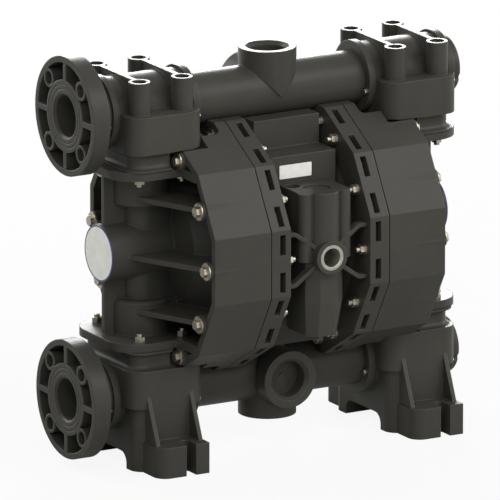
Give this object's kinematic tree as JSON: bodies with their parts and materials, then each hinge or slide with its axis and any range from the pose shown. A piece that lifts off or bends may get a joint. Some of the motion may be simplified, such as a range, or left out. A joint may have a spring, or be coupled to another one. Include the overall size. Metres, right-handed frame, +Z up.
{
  "type": "air operated diaphragm pump",
  "caption": "Plastic air operated double diaphragm pump with flanged suction and discharge manifolds, ball valves and slotted casing rings.",
  "frame": {"origin": "on the floor, midway between the four feet", "axes": "+X along the manifolds away from the flanges, -Y the front with the air inlet, +Z up"},
  "size_m": [0.5985, 0.3527, 0.574],
  "materials": {
    "moulded_plastic": "moulded dark grey, fine satin",
    "badge": "printed foil",
    "plate": "printed label",
    "insert": "turned",
    "stainless": "bright",
    "shaft": "ground",
    "valve_metal": "anodised",
    "elastomer": "moulded",
    "ball": "polished white",
    "bush": "machined",
    "inner_plate": "cast and turned",
    "light_plastic": "moulded",
    "silencer": "porous moulded"
  },
  "bodies": {
    "root": {"air_casing_left": "moulded_plastic", "air_casing_right": "moulded_plastic", "air_inlet_insert": "insert", "air_valve_body": "moulded_plastic", "air_valve_cap": "moulded_plastic", "air_valve_gasket": "elastomer", "air_valve_sleeve": "valve_metal", "centre_block": "moulded_plastic", "clamp_ring_screws": "stainless", "cover_bolts_left": "stainless", "cover_bolts_right": "stainless", "cover_nuts_left": "stainless", "cover_nuts_right": "stainless", "cover_washers_left": "stainless", "cover_washers_right": "stainless", "diaphragm_left": "elastomer", "diaphragm_right": "elastomer", "discharge_clamp_rings": "moulded_plastic", "discharge_elbow_left": "moulded_plastic", "discharge_elbow_right": "moulded_plastic", "discharge_end_cap": "moulded_plastic", "discharge_flange": "moulded_plastic", "discharge_tee": "moulded_plastic", "discharge_valve_seat_left": "light_plastic", "discharge_valve_seat_right": "light_plastic", "exhaust_silencer": "silencer", "hub_badge_left": "badge", "hub_badge_right": "badge", "manifold_bolts": "stainless", "manifold_nuts": "stainless", "manifold_seals": "elastomer", "nameplate": "plate", "pilot_bushes": "bush", "product_cover_left": "moulded_plastic", "product_cover_right": "moulded_plastic", "shaft_bushes": "bush", "shaft_seals": "elastomer", "suction_clamp_rings": "moulded_plastic", "suction_elbow_left": "moulded_plastic", "suction_elbow_right": "moulded_plastic", "suction_end_cap": "moulded_plastic", "suction_flange": "moulded_plastic", "suction_tee": "moulded_plastic", "suction_valve_seat_left": "light_plastic", "suction_valve_seat_right": "light_plastic"},
    "shaft": {"diaphragm_shaft": "shaft", "inner_diaphragm_plate_left": "inner_plate", "inner_diaphragm_plate_right": "inner_plate", "outer_diaphragm_plate_left": "light_plastic", "outer_diaphragm_plate_right": "light_plastic"},
    "pilot": {"pilot_rod": "shaft"},
    "spool": {"air_valve_spool": "valve_metal"},
    "suction_ball_left": {"suction_valve_ball_left": "ball"},
    "suction_ball_right": {"suction_valve_ball_right": "ball"},
    "discharge_ball_left": {"discharge_valve_ball_left": "ball"},
    "discharge_ball_right": {"discharge_valve_ball_right": "ball"}
  },
  "joints": [
    {"name": "shaft_slide", "type": "slide", "parent": "root", "child": "shaft", "axis": [1, 0, 0], "range_m": [-0.015, 0.015], "deforming": ["diaphragm_left", "diaphragm_right"]},
    {"name": "pilot_slide", "type": "slide", "parent": "root", "child": "pilot", "axis": [1, 0, 0], "range_m": [-0.005, 0.005]},
    {"name": "spool_slide", "type": "slide", "parent": "root", "child": "spool", "axis": [0, 0, 1], "range_m": [0, 0.016]},
    {"name": "suction_ball_left_lift", "type": "slide", "parent": "root", "child": "suction_ball_left", "axis": [0, 0, 1], "range_m": [0, 0.01]},
    {"name": "suction_ball_right_lift", "type": "slide", "parent": "root", "child": "suction_ball_right", "axis": [0, 0, 1], "range_m": [0, 0.01]},
    {"name": "discharge_ball_left_lift", "type": "slide", "parent": "root", "child": "discharge_ball_left", "axis": [0, 0, 1], "range_m": [0, 0.01]},
    {"name": "discharge_ball_right_lift", "type": "slide", "parent": "root", "child": "discharge_ball_right", "axis": [0, 0, 1], "range_m": [0, 0.01]}
  ],
  "couplings": [
    {"joint": "pilot_slide", "follows": "shaft_slide", "ratio": 0.3333}
  ]
}
